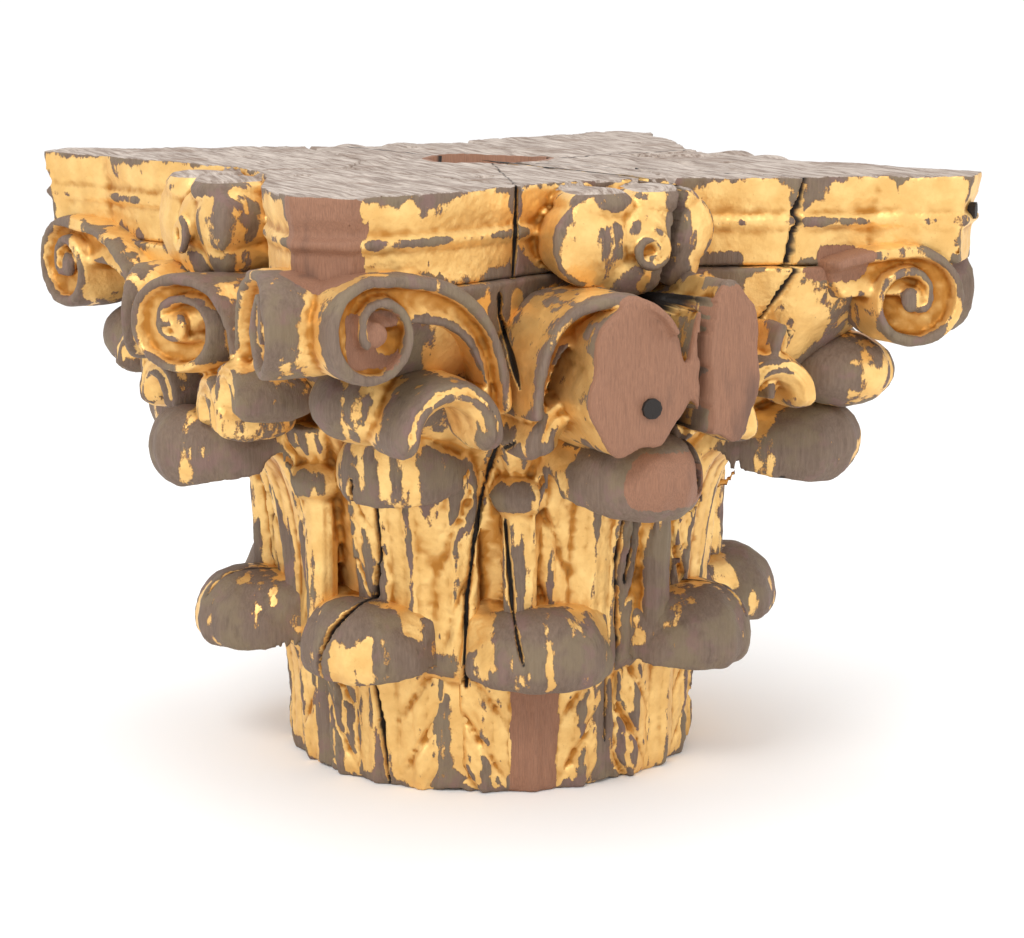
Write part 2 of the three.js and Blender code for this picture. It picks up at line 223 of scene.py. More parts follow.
def leaf(bm, form, azimuth, reach, seed):
    """One leaf: reach is how far its tip still stands out, seed sets its small lean."""
    shorten = (reach - form["body"]) / (form["tip"] - form["body"])
    rng = np.random.default_rng(seed)
    lean = rng.uniform(-0.06, 0.06)

    def place(t, turn):
        u = 2 * t - 1
        u = np.sign(u) * np.abs(u) ** 0.8
        r, z = loop_curve(form["outline"], turn)
        full = fullness(t, 0.05)
        rounded = np.sqrt(np.clip(1 - 0.92 * np.abs(u) ** 2.1, 0, 1))
        out = np.maximum(0, (r - form["body"]) / (form["tip"] - form["body"]))
        rise = np.clip((z - form["foot"]) / (form["hood_z"] - form["foot"]), 0, 1.2)
        skin = smooth(form["body"] - 14, form["body"] - 8, r) * (1 - np.clip(3 * out, 0, 1))
        flutes = form["flute"] * np.abs(np.sin(1.5 * math.pi * u)) ** 1.5
        veins = 1.8 * np.exp(-((((np.abs(u) * 4.5) % 1 - 0.5) / 0.15) ** 2))
        depth = (flutes + veins + lobes(u, rise)) * skin
        hood = form["body"] + (r - form["body"]) * rounded * shorten
        ribs = 1.2 * np.cos(5 * math.pi * u) * smooth(0.1, 0.5, out)
        radius = np.where(out > 0, hood - ribs, r) - depth
        half = blend(form["body_half"], form["hood_half"], out)
        half = half * (1 - 0.05 * lobes(u, rise) / 5 * (out <= 0))
        arch = np.clip(1 - np.abs(u) ** 2, 0, 1) ** 0.62
        squeeze = blend(1, np.where(z > form["lip"], arch, rounded), np.minimum(1, 1.5 * out))
        height = form["lip"] + (z - form["lip"]) * squeeze + lean * u * 30 * out
        radius = np.where(full < 1, blend(form["body"] - 25, radius, full), radius)
        swing = np.degrees(u * half / np.maximum(radius, form["body"]))
        return on_ray(azimuth + swing, radius, height)

    wrap(bm, 72, 150, place)


# %% [markdown]
# ## Stalks and scrolls
# Between the upper leaves stand the stalks, each with a ball and a cup. Two scrolls rise from every cup:
# a large volute that runs out to the corner and a smaller helix that turns in. A scroll is a web with a
# hollowed front, a rim that winds inwards along its outer edge, and a boss at the eye.

# %% Stalks
STALK = {"turn": 18.5, "radius": 168, "neck": 204, "cup": 238}
STALK_PROFILE = [
    # share of the way up the skin, height, radius: the stem, the ball, its neck and the cup
    (0, 100, 0), (0.03, 100, 11), (0.45, 204, 12), (0.52, 209, 13), (0.56, 213, 18), (0.62, 222, 21),
    (0.68, 232, 18), (0.72, 236, 12), (0.76, 239, 14), (0.86, 250, 22), (0.97, 264, 27), (1, 266, 0),
]


def stalk(bm, azimuth):
    """A turned stalk with a ball and a ribbed cup."""
    shares, heights, radii = zip(*STALK_PROFILE)

    def place(t, turn):
        z = np.interp(t, shares, heights)
        r = np.interp(t, shares, radii)
        ribs = 1 + 0.08 * np.cos(2 * math.pi * turn * 10) * ((z > STALK["cup"]) | (z < STALK["neck"]))
        centre = on_ray(azimuth, STALK["radius"], 0)
        x = r * ribs * np.cos(2 * math.pi * turn)
        y = r * ribs * np.sin(2 * math.pi * turn)
        return centre + np.stack([x, y, z], axis=-1) * MM

    wrap(bm, 80, 40, place)


# %% Scrolls
VOLUTE = {"out": 203, "z": 355, "radius": 37, "root": (96, 288), "front": 262, "lean": 0.2,
          "back": 226, "root_back": 168, "turns": 1.45, "hollow": 11, "rim": 9}
HELIX = {"out": 37, "z": 337, "radius": 36, "root": (92, 288), "front": 277, "lean": -0.45,
         "back": 205, "root_back": 168, "turns": 1.6, "hollow": 13, "rim": 7.5}
ARM = 0.42


def scroll_edge(form, t, turns):
    """Outer edge of a scroll at t from 0 to 1, first the arm and then the roll: points and inward normals."""
    way = 1 if form["out"] > form["root"][0] else -1
    top = (form["out"], form["z"] + form["radius"])
    root = form["root"]
    above_root = (root[0], root[1] + 0.75 * (top[1] - root[1]))
    before_top = (root[0] + 0.35 * (top[0] - root[0]), top[1])
    knots = [root, above_root, before_top, top]
    q = np.clip(t / ARM, 0, 1)
    weights = [(1 - q) ** 3, 3 * q * (1 - q) ** 2, 3 * q * q * (1 - q), q**3]
    arm = [sum(w * k[i] for w, k in zip(weights, knots)) for i in (0, 1)]
    wound = np.clip((t - ARM) / (1 - ARM), 0, 1) * turns
    distance = form["radius"] * (1 - 0.40 * np.minimum(wound, 1.2) ** 2.2 - 0.25 * np.maximum(0, wound - 1.2))
    angle = math.pi / 2 - way * 2 * math.pi * wound
    s = np.where(t < ARM, arm[0], form["out"] + distance * np.cos(angle))
    z = np.where(t < ARM, arm[1], form["z"] + distance * np.sin(angle))
    return s, z, way, wound, distance


def edge_normals(form, t, turns, way):
    """Directions from a scroll's outer edge towards its inside."""
    step = 1e-3
    s0, z0, *_ = scroll_edge(form, t - step, turns)
    s1, z1, *_ = scroll_edge(form, t + step, turns)
    length = np.hypot(s1 - s0, z1 - z0) + 1e-9
    return way * (z1 - z0) / length, -way * (s1 - s0) / length


def scroll_depths(form, s):
    """Depth of a scroll's front and back at a distance across the face."""
    away = np.clip(np.abs(s - form["out"]) / 90, 0, 1)
    front = form["front"] + form["lean"] * (np.abs(s) - form["out"])
    back = blend(form["back"], form["root_back"], away)
    return front, back


def scroll(bm, azimuth, side, form, keep=(0, 1)):
    """One scroll; keep gives the stretch of its length that has survived."""

    def rim(t, turn):
        t = np.clip(blend(keep[0], keep[1], t), 0.002, 0.998)
        s, z, way, wound, _ = scroll_edge(form, t, form["turns"])
        ns, nz = edge_normals(form, t, form["turns"], way)
        across, deep = soft_box(turn, 5)
        width = form["rim"] * (1 - 0.25 * wound / form["turns"])
        full = fullness((t - keep[0]) / (keep[1] - keep[0]), 0.02)
        front, back = scroll_depths(form, s)
        move = width / 2 + across * width / 2 * full
        depth = blend(back, front, 0.5 + 0.5 * deep * full)
        return on_face(azimuth, side * (s + ns * move), depth, z + nz * move)

    def web(t, turn):
        share = blend(keep[0], min(keep[1], ARM + (1 - ARM) / form["turns"]), t)
        share = np.clip(share, 0.002, 0.998)
        s, z, way, wound, distance = scroll_edge(form, share, form["turns"])
        ns, nz = edge_normals(form, share, form["turns"], way)
        across, deep = soft_box(turn, 8)
        full = fullness(t, 0.02)
        reach = np.where(share < ARM, blend(12, form["radius"] * 0.95, share / ARM), distance * 0.98)
        inward = (0.5 + 0.5 * across * full)
        front, back = scroll_depths(form, s)
        sunk = form["hollow"] * np.sin(math.pi * np.clip(inward * 0.8 + 0.1, 0, 1)) + 1.5
        sunk = sunk * np.where(deep > 0, deep, 0)
        move = 1.5 + inward * reach
        depth = blend(back + 2, front, 0.5 + 0.5 * deep * full) - sunk
        return on_face(azimuth, side * (s + ns * move), depth, z + nz * move)

    def eye(t, turn):
        latitude = math.pi * (t - 0.5)
        r = 9.5 * np.cos(latitude)
        front, back = scroll_depths(form, form["out"])
        depth = front - 6 + 5 * np.sin(latitude)
        s = form["out"] + r * np.cos(2 * math.pi * turn)
        return on_face(azimuth, side * s, depth, form["z"] - 1 + r * np.sin(2 * math.pi * turn))

    wrap(bm, 150, 28, rim)
    wrap(bm, 90, 40, web)
    if keep[1] > 0.9:
        wrap(bm, 12, 16, eye)


# %% Calyx leaves and corner lobes
CALYX = {
    "corner": {"out": 102, "z": 289, "inner": 13, "outer": 32, "front": 250, "back": 190},
    "large": {"out": 146, "z": 281, "inner": 20, "outer": 41, "front": 256, "back": 190},
    "middle": {"out": 54, "z": 270, "inner": 8, "outer": 37, "front": 247, "back": 185},
}
LOBE = {"radius": 266, "z": 298, "long": 40, "half": 36, "high": 28}
LOBE_SHIFT = {270: -14, 180: 14}


def calyx(bm, azimuth, side, kind):
    """A leaf that arches out of the cup: fluted along the arch, with a rolled tip."""
    form = CALYX[kind]
    away = 1 if kind == "middle" else -1

    def place(t, turn):
        angle = np.radians(blend(-25, 205, t))
        across, deep = soft_box(turn, 3)
        full = fullness(t, 0.12)
        middle = (form["inner"] + form["outer"]) / 2
        half = (form["outer"] - form["inner"]) / 2
        radius = middle + half * across * full
        flute = 3.5 * (0.5 - 0.5 * np.cos(2.5 * math.pi * (across + 1))) * (deep > 0.3)
        depth = blend(form["back"], form["front"], 0.5 + 0.5 * deep * full) - flute * full
        s = side * (form["out"] + away * radius * np.cos(angle))
        depth = depth + 0.1 * (np.abs(s) - form["out"])
        return on_face(azimuth, s, depth, form["z"] + radius * np.sin(angle))

    wrap(bm, 70, 44, place)


def corner_lobe(bm, azimuth, radius):
    """The rounded lobe under a corner, creased along its middle."""
    def place(t, turn):
        latitude = math.pi * (t - 0.5)
        x = np.cos(latitude) * np.cos(2 * math.pi * turn)
        y = np.cos(latitude) * np.sin(2 * math.pi * turn)
        crease = 1 - 0.10 * np.exp(-((x / 0.12) ** 2))
        z = np.sin(latitude)
        depth = radius + LOBE["long"] * y * crease
        return on_face(azimuth, LOBE["half"] * x, depth, LOBE["z"] + LOBE["high"] * z)

    wrap(bm, 40, 56, place)


# %% [markdown]
# ## From loose forms to one skin
# The forms overlap, as clay pellets pressed together would. A voxel remesh melts them into one closed
# skin, and a decimation keeps the triangles where the shape is busy. Between the two, the skin gets its
# fine carving, its splits and its unevenness by moving points along their normals.

# %% Melt, carve and thin
def as_object(name, bm):
    """Puts the loose forms into one object at the origin."""
    bmesh.ops.recalc_face_normals(bm, faces=bm.faces)
    mesh = bpy.data.meshes.new(name)
    bm.to_mesh(mesh)
    bm.free()
    piece = bpy.data.objects.new(name, mesh)
    bpy.context.collection.objects.link(piece)
    return piece


def apply_modifiers(piece):
    """Replaces the mesh by what its modifiers make of it."""
    depsgraph = bpy.context.evaluated_depsgraph_get()
    mesh = bpy.data.meshes.new_from_object(piece.evaluated_get(depsgraph))
    old = piece.data
    piece.modifiers.clear()
    piece.data = mesh
    bpy.data.meshes.remove(old)
    mesh.name = piece.name


def melt(piece, voxel):
    """Joins overlapping forms into one closed skin; voxel is its fineness in millimetres."""
    remesh = piece.modifiers.new("melt", "REMESH")
    remesh.mode = "VOXEL"
    remesh.voxel_size = voxel * MM
    remesh.use_smooth_shade = True
    apply_modifiers(piece)
    print(piece.name, "melted", len(piece.data.polygons), "faces")


def thin(piece, triangles):
    """Brings the piece down to a number of triangles, and shades it smooth."""
    now = sum(len(p.vertices) - 2 for p in piece.data.polygons)
    if now > triangles:
        decimate = piece.modifiers.new("thin", "DECIMATE")
        decimate.ratio = triangles / now
        decimate.use_collapse_triangulate = True
        apply_modifiers(piece)
    piece.data.polygons.foreach_set("use_smooth", [True] * len(piece.data.polygons))
    print(piece.name, "thinned to", len(piece.data.polygons), "triangles")


def read_points(mesh):
    """The points of a mesh and their normals, as arrays."""
    count = len(mesh.vertices)
    co, normal = np.empty(count * 3), np.empty(count * 3)
    mesh.vertices.foreach_get("co", co)
    mesh.vertex_normals.foreach_get("vector", normal)
    return co.reshape(-1, 3), normal.reshape(-1, 3)


def relax(mesh, co, rounds):
    """Each point moves to the middle of its neighbours, a number of times over."""
    edges = np.empty(len(mesh.edges) * 2, dtype=np.int32)
    mesh.edges.foreach_get("vertices", edges)
    a, b = edges.reshape(-1, 2).T
    count = len(co)
    near = np.bincount(a, minlength=count) + np.bincount(b, minlength=count)
    near = np.maximum(near, 1)[:, None]
    for _ in range(rounds):
        total = np.stack([np.bincount(a, co[b, i], count) + np.bincount(b, co[a, i], count)
                          for i in range(co.shape[1])], axis=-1)
        co = 0.5 * co + 0.5 * total / near
    return co


# %% Splits in the wood
# azimuth and height of each split's course, with its width and depth in millimetres
SPLITS = [
    {"course": [(8.1, 441), (6.9, 419), (5, 376), (3.6, 341), (4, 300), (4.4, 274), (5.2, 236)],
     "width": 6.5, "depth": 55},
    {"course": [(13, 240), (12, 198), (11, 170), (10, 150)], "width": 2.4, "depth": 9},
    {"course": [(-21, 441), (-21, 409), (-21.5, 376)], "width": 1.6, "depth": 6},
    {"course": [(-24, 370), (-24, 355), (-22, 330), (-21, 309)], "width": 2.2, "depth": 7},
    {"course": [(-21.5, 272), (-24, 258), (-27.8, 218), (-29, 196), (-31.5, 146), (-32, 78)],
     "width": 1.9, "depth": 7},
    {"course": [(30, 441), (29, 376), (28, 352), (27, 330)], "width": 1.9, "depth": 7},
    {"course": [(-54, 166), (-55, 144), (-59.7, 124), (-62, 104), (-63, 79)], "width": 2.6, "depth": 10},
    {"course": [(10, 222), (8.6, 197), (7.7, 168), (8.7, 109), (8.5, 30)], "width": 1.8, "depth": 7},
    {"course": [(-52, 236), (-53.3, 207), (-53.6, 167)], "width": 1.8, "depth": 6},
    {"course": [(-22, 204), (-21.2, 175), (-20.5, 146), (-20, 125), (-19, 107)], "width": 1.8, "depth": 6},
    {"course": [(-58, 80), (-56.5, 50), (-55, 0)], "width": 1.8, "depth": 6},
    {"course": [(36, 222), (35, 160), (34, 120)], "width": 2.0, "depth": 7},
    {"course": [(120, 230), (122, 160), (121, 90)], "width": 2.2, "depth": 8},
    {"course": [(200, 330), (203, 240), (201, 150), (204, 30)], "width": 2.6, "depth": 10},
    {"course": [(100, 441), (99, 380)], "width": 2.2, "depth": 8},
    {"course": [(192, 441), (191, 385)], "width": 3, "depth": 10},
    {"course": [(262, 215), (259, 170), (260, 120)], "width": 1.8, "depth": 6},
    {"course": [(60, 90), (61, 40), (60, 0)], "width": 1.8, "depth": 6},
    {"course": [(150, 90), (152, 40), (151, 0)], "width": 1.8, "depth": 6},
]


def split_depth(co, splits):
    """How deep the splits cut each point, and how dark they are there."""
    azimuth = np.degrees(np.arctan2(co[:, 0], -co[:, 1]))
    radius = np.hypot(co[:, 0], co[:, 1]) / MM
    z = co[:, 2] / MM
    depth, dark = np.zeros(len(co)), np.zeros(len(co))
    for split in splits:
        course = sorted(split["course"], key=lambda point: point[1])
        along = np.interp(z, [p[1] for p in course], [p[0] for p in course])
        low, high = course[0][1], course[-1][1]
        inside = smooth(low - 3, low + 8, z) * (1 - smooth(high - 4, high + 3, z))
        wander = 1.1 * np.sin(z / 9.3 + low) + 0.5 * np.sin(z / 3.7 + high)
        gap = np.abs(((azimuth - along + 180) % 360 - 180)) * np.pi / 180 * radius
        gap = np.abs(gap + wander * 0.3)
        half = split["width"] / 2 * inside
        cut = 1 - smooth(half * 0.7, half * 1.0 + 1.2, gap)
        cut = cut * (inside > 0.02)
        depth = np.maximum(depth, cut * split["depth"] * inside)
        dark = np.maximum(dark, cut * (inside > 0.1))
    return depth, dark


# %% [markdown]
# ## The wear, worked out from the shape
# Gold leaf wears off ridges and tips, and the hollows get painted shade. Comparing the skin with a smoothed copy
# of itself tells the two apart: a point that stands proud of the copy is a ridge, and one below it is a
# hollow. The wear, the painted shade of the hollows, the bare wood and the splits are kept as four values on every
# point, in one colour attribute that the material reads. A second one holds how far the wood has turned grey.

# %% Paint values on the points
TIP_WEAR = {"lower_leaves": 0.32, "upper_leaves": 0.2, "front_scrolls": 0.16, "back_scrolls": 0.16}
ROUNDS = {"near": 10, "wide": 40}


def paint(piece, bare, dark, grey):
    """Stores wear, the painted shade of the hollows, bare and dark as the attribute finish, and grey as weather.
    """
    mesh = piece.data
    co, normal = read_points(mesh)
    near = np.einsum("ij,ij->i", co - relax(mesh, co, ROUNDS["near"]), normal) / MM
    wide = np.einsum("ij,ij->i", co - relax(mesh, co, ROUNDS["wide"]), normal) / MM
    wear = np.clip(0.5 + 0.45 * near + 0.12 * wide, 0, 1)
    # hollow: depth below the smoothed copy; it only darkens the hollows, as painted shade
    hollow = np.clip(-0.35 * near - 0.12 * wide, 0, 1)
    azimuth = np.degrees(np.arctan2(co[:, 0], -co[:, 1]))
    stands_out = np.hypot(co[:, 0], co[:, 1]) / MM - bell_radius(azimuth, co[:, 2] / MM)
    handled = smooth(14, 42, stands_out) * (0.45 + 0.55 * smooth(-0.4, 0.6, normal[:, 2]))
    wear = wear + TIP_WEAR.get(piece.name, 0) * handled
    none = np.zeros(len(co))
    wear = relax(mesh, wear[:, None], 2)[:, 0]
    finish = mesh.color_attributes.new("finish", "FLOAT_COLOR", "POINT")
    finish.data.foreach_set("color", np.stack([wear, hollow, bare, dark], axis=-1).ravel())
    more = mesh.color_attributes.new("weather", "FLOAT_COLOR", "POINT")
    more.data.foreach_set("color", np.stack([grey, none, none, none + 1], axis=-1).ravel())
    print(piece.name, "wear", round(float(wear.mean()), 2), "bare", round(float(bare.mean()), 3))


# %% Marks on the top
BOARD_JOINTS = [
    # lines across the top of the slab, from and to, in millimetres
    ((-262, 6), (-122, -18)), ((-122, -18), (-84, 42)), ((-122, -18), (-108, -70)), ((-108, -70), (-74, -205)),
    ((34, -245), (62, -120)), ((62, -120), (60, -20)), ((116, -200), (128, 10)), ((128, 10), (255, 30)),
    ((-84, 42), (-60, 240)), ((60, 80), (80, 240)),
]
NAIL_HOLES = [(-176, -64), (-60, -120), (150, -90), (190, 120), (-150, 120), (-190, -190), (90, -150), (10, 160)]


def on_top(co):
    """1 on the top of the slab, and 0 a few millimetres below it."""
    return smooth(HEIGHT - 4, HEIGHT - 1.5, co[:, 2] / MM)


def top_marks(co):
    """How deep the joints, nail holes and the broken patch lie in the top."""
    x, y = co[:, 0] / MM, co[:, 1] / MM
    depth = np.zeros(len(co))
    for (x0, y0), (x1, y1) in BOARD_JOINTS:
        length = math.hypot(x1 - x0, y1 - y0)
        along = np.clip(((x - x0) * (x1 - x0) + (y - y0) * (y1 - y0)) / length**2, 0, 1)
        away = np.hypot(x - x0 - along * (x1 - x0), y - y0 - along * (y1 - y0))
        depth = np.maximum(depth, 5 * (1 - smooth(0.8, 2.6, away + 0.6 * np.sin(along * 40))))
    for x0, y0 in NAIL_HOLES:
        depth = np.maximum(depth, 5 * (1 - smooth(3, 5.5, np.hypot((x - x0) * 0.6, y - y0))))
    return depth * on_top(co)


PATCH = {"x": 152, "y": -14, "slope": 0.3}


def broken_patch(co):
    """A shallow reddish break in the top, beside the mortise."""
    x, y = co[:, 0] / MM, co[:, 1] / MM
    ragged = 3 * np.sin(x / 7) + 2 * np.sin(y / 4)
    across = np.abs(x - PATCH["x"]) + ragged
    along = np.abs(y - PATCH["y"] + PATCH["slope"] * (x - PATCH["x"])) + ragged / 2
    inside = (1 - smooth(24, 32, across)) * (1 - smooth(9, 15, along))
    return inside * smooth(HEIGHT - 9, HEIGHT - 5, co[:, 2] / MM)


# %% Carve the skin
def carve(piece, splits):
    """Moves the skin inwards at the splits and gives it the unevenness of hand carving."""
    mesh = piece.data
    co, normal = read_points(mesh)
    depth, dark = split_depth(co, splits)
    bumps = 0.8 * waves(co, 60, 3) + 0.35 * waves(co, 17, 5) + 0.18 * waves(co, 7, 8)
    radial = np.stack([co[:, 0], co[:, 1], co[:, 2] * 0], axis=-1)
    radial /= np.linalg.norm(radial, axis=1)[:, None] + 1e-9
    moved = co + normal * (bumps * (1 - dark) * MM)[:, None] - radial * (depth * MM)[:, None]
    if piece.name == "carved_abacus":
        worn = 1.2 * np.maximum(0, waves(co, 45, 12)) + 0.5 * np.maximum(0, waves(co * [1, 0.25, 1], 9, 13))
        sunk = top_marks(co) + 5 * broken_patch(co) + worn * on_top(co)
        moved[:, 2] = np.minimum(co[:, 2], HEIGHT * MM) - sunk * MM
    moved[:, 2] = np.maximum(moved[:, 2], 0)
    mesh.vertices.foreach_set("co", moved.ravel())
    mesh.update()


# %% [markdown]
# ## The bell, in three carved layers
# The lower leaves, the upper leaves and the scrolls are one block of wood on the real capital. Each layer is
# melted on its own here, because that leaves room for finer carving in each, and each reaches into the one
# below it, so no gap shows.

# %% Lower leaves
LOWER_TURN = -13.5
LOWER_REACH = {0: 205, 1: 216, 7: 203}


def lower_leaves():
    bm = bmesh.new()
    core(bm, 150, 1)
    for i in range(8):
        leaf(bm, LOWER, LOWER_TURN + 45 * i, LOWER_REACH.get(i, LOWER["tip"]), 20 + i)
    piece = as_object("lower_leaves", bm)
    melt(piece, 2.0)
    return piece


# %% Upper leaves
UPPER_REACH = {0: 290, 270: 266, 315: 220}


def upper_leaves():
    bm = bmesh.new()
    core(bm, JOINT, 0)
    for i in range(8):
        azimuth = 45 * i
        leaf(bm, UPPER, azimuth, UPPER_REACH.get(azimuth, UPPER["tip"]), 40 + i)
        if i % 2 == 0:
            for side in (-1, 1):
                stalk(bm, azimuth + side * STALK["turn"])
    piece = as_object("upper_leaves", bm)
    melt(piece, 2.1)
    return piece


# %% Scrolls, calyx leaves and lobes
LEFT_VOLUTE = {**VOLUTE, "out": 213, "front": 266}
LEFT_HELIX = {**HELIX, "out": 42, "front": 264, "lean": -0.55}
BROKEN_HELIX = {**HELIX, "front": 286, "hollow": 22}
HELIX_LEFT = 0.5  # share of the broken helix that survives
VOLUTE_BREAK = (0.12, 0.27)  # stretch missing from the right front volute
STUMPS = [(-29, 317, 36, 50), (36, 324, 27, 52)]  # across, height, half width, half height


def scrolls(name, faces):
    """All the scrolls, calyx leaves and corner lobes of some faces, as one piece."""
    bm = bmesh.new()
    for azimuth in faces:
        is_front, is_left = azimuth == 0, azimuth == 270
        corner_lobe(bm, azimuth + 45, LOBE["radius"] + LOBE_SHIFT.get(azimuth, 0))
        for side in (-1, 1):
            calyx(bm, azimuth, side, "large" if is_front and side < 0 else "corner")
            calyx(bm, azimuth, side, "middle")
            volute = LEFT_VOLUTE if is_left and side < 0 else VOLUTE
            if is_front and side > 0:
                scroll(bm, azimuth, side, volute, keep=(0, VOLUTE_BREAK[0]))
                scroll(bm, azimuth, side, volute, keep=(VOLUTE_BREAK[1], 1))
            else:
                scroll(bm, azimuth, side, volute)
            if not is_front:
                scroll(bm, azimuth, side, LEFT_HELIX if is_left else HELIX)
            elif side < 0:
                scroll(bm, azimuth, side, BROKEN_HELIX, keep=(0, HELIX_LEFT))
    if 0 in faces:
        for stump in STUMPS:
            broken_block(bm, *stump)
    piece = as_object(name, bm)
    melt(piece, 2.0)
    return piece


def broken_block(bm, across, z, half_width, half_height):
    """The stump of a broken helix: a ragged block with a flat face."""

    def place(t, turn):
        angle = 2 * math.pi * turn
        ragged = 1 + 0.07 * np.sin(3 * angle + across) + 0.05 * np.sin(7 * angle + z)
        r = np.interp(t, [0, 0.1, 0.93, 1], [0, 1, 1, 0]) * ragged
        depth = np.interp(t, [0, 0.1, 0.93, 1], [175, 175, 289, 290])
        return on_face(0, across + half_width * r * np.cos(angle), depth, z + half_height * r * np.sin(angle))

    wrap(bm, 50, 60, place)


# %% [markdown]
# ## The abacus
# The slab on top has four hollow sides and cut-off corners. Its moulding is a face extruded down in
# steps, each step set in or out a little, and a flower sits in the middle of each side.

# %% Abacus
SLAB = {"middle": 188, "end": 240, "sweep": 185, "horn": 362, "worn_horn": 324, "chamfer": 20}
MOULDING = [(0, 0.5), (14, 2.5), (24, 7), (27, 6), (28.5, 3), (31, 2), (34, 3), (36.5, 7), (61.7, 8)]


def side_depth(across):
    """Depth of the slab's hollow side."""
    rise = np.sin(math.pi / 2 * np.minimum(1, np.abs(across) / SLAB["sweep"])) ** 2
    return blend(SLAB["middle"], SLAB["end"], rise)


def slab_outline():
    """Round the slab's edge: along each hollow side, then across the cut-off corner."""
    outline = []
    for azimuth in (0, 90, 180, 270):
        across = np.linspace(-SLAB["sweep"], SLAB["sweep"], 49)
        outline.extend(on_face(azimuth, across, side_depth(across), 0))
        horn = SLAB["worn_horn"] if azimuth == 270 else SLAB["horn"]
        outline.extend(on_face(azimuth + 45, np.array([-1, 1]) * SLAB["chamfer"], horn, 0))
    return np.array(outline)


def slab(bm):
    outline = slab_outline()
    drops = [drop for drop, _ in MOULDING]
    insets = [inset for _, inset in MOULDING]

    def place(t, turn):
        edge = outline[np.round(turn * len(outline)).astype(int) % len(outline)]
        full = np.interp(t, [0, 0.25, 0.85, 1], [0, 1, 1, 0])
        drop = np.interp(t, [0.25, 0.85], [drops[-1], 0])
        inset = np.interp(drop, drops, insets) * MM
        shrink = full * (1 - inset / np.hypot(edge[:, 0], edge[:, 1]))
        return np.stack([edge[:, 0] * shrink, edge[:, 1] * shrink, (HEIGHT - drop) * MM], axis=-1)

    wrap(bm, 80, len(outline), place)


# %% Flowers on the abacus
FLOWER_PADS = [
    # across, height, half width, half height, how far it stands out
    (-36, 402, 28, 30, 243), (30, 408, 30, 27, 239), (-28, 427, 24, 12, 241), (22, 428, 26, 11, 240),
    (-8, 382, 34, 18, 238), (34, 388, 18, 20, 234), (4, 406, 22, 20, 243),
]


def pad(bm, azimuth, across, z, half_width, half_height, depth, back):
    """A rounded lobe that stands out from the wood behind it."""

    def place(t, turn):
        angle = 2 * math.pi * turn
        r = np.sin(math.pi * t) ** 0.7
        height = np.minimum(z + half_height * r * np.sin(angle), HEIGHT - 0.5)
        front = np.interp(t, [0, 0.5, 1], [back, depth - 12, depth])
        return on_face(azimuth, across + half_width * r * np.cos(angle), front, height)

    wrap(bm, 24, 32, place)


def curl(bm, azimuth, across, z, radius, depth, turns):
    """A small rolled ridge, such as the eye of a flower."""

    def place(t, turn):
        wound = t * turns * 2 * math.pi
        r = radius * (1 - 0.75 * t)
        thick = 3.2 * fullness(t, 0.08) * (1 - 0.4 * t)
        angle = math.pi / 2 - wound
        swing = 2 * math.pi * turn
        out = r + thick * np.cos(swing)
        s = across + out * np.cos(angle)
        return on_face(azimuth, s, depth + thick * np.sin(swing), z + out * np.sin(angle))

    wrap(bm, 60, 12, place)


def flower(bm, azimuth):
    for across, z, half_width, half_height, depth in FLOWER_PADS:
        pad(bm, azimuth, across, z, half_width, half_height, depth, SLAB["middle"] - 30)
    curl(bm, azimuth, 3, 396, 14, 243, 1.6)


def cut(piece, cutter):
    """Takes the cutter's solid out of the piece."""
    hole = piece.modifiers.new("cut", "BOOLEAN")
    hole.operation = "DIFFERENCE"
    hole.solver = "MANIFOLD"
    hole.object = cutter
    apply_modifiers(piece)
    bpy.data.objects.remove(cutter, do_unlink=True)


SOCKET = {"x": 10, "y": 25, "across": 90}


def abacus():
    bm = bmesh.new()
    slab(bm)
    for azimuth in (0, 90, 180, 270):
        flower(bm, azimuth)
    piece = as_object("carved_abacus", bm)
    melt(piece, 2.0)
    bore = bmesh.new()
    radius = SOCKET["across"] / 2 / math.cos(math.pi / 8) * MM
    bmesh.ops.create_cone(bore, cap_ends=True, segments=8, radius1=radius, radius2=radius, depth=0.2)
    bmesh.ops.rotate(bore, verts=bore.verts, matrix=Matrix.Rotation(math.pi / 8, 3, "Z"))
    bmesh.ops.translate(bore, verts=bore.verts, vec=(SOCKET["x"] * MM, SOCKET["y"] * MM, 0.4))
    cut(piece, as_object("bore", bore))
    return piece


# %% [markdown]
# ## Shader maths in Python
# The class below wraps a node's output, so that an expression on values adds its Math nodes by itself.
# Colours go through Mix nodes, because a Math node would turn them grey.

# %% A socket that does sums
class Value:
    """A number that varies over a surface."""

    def __init__(self, maker, socket):
        self.maker, self.socket = maker, socket

    def sum(self, operation, first, second):
        node = self.maker.node("ShaderNodeMath", {"operation": operation}, {0: first, 1: second})
        return Value(self.maker, node.outputs[0])

    def __add__(self, other):
        return self.sum("ADD", self, other)

    __radd__ = __add__

    def __mul__(self, other):
        return self.sum("MULTIPLY", self, other)

    __rmul__ = __mul__

    def __sub__(self, other):
        return self.sum("SUBTRACT", self, other)

    def __rsub__(self, other):
        return self.sum("SUBTRACT", other, self)

    def step(self, low, high):
        """0 below low and 1 above high, with a soft edge between."""
        node = self.maker.node(
            "ShaderNodeMapRange", {"interpolation_type": "SMOOTHSTEP"}, {0: self, 1: low, 2: high, 3: 0.0, 4: 1.0})
        return Value(self.maker, node.outputs[0])


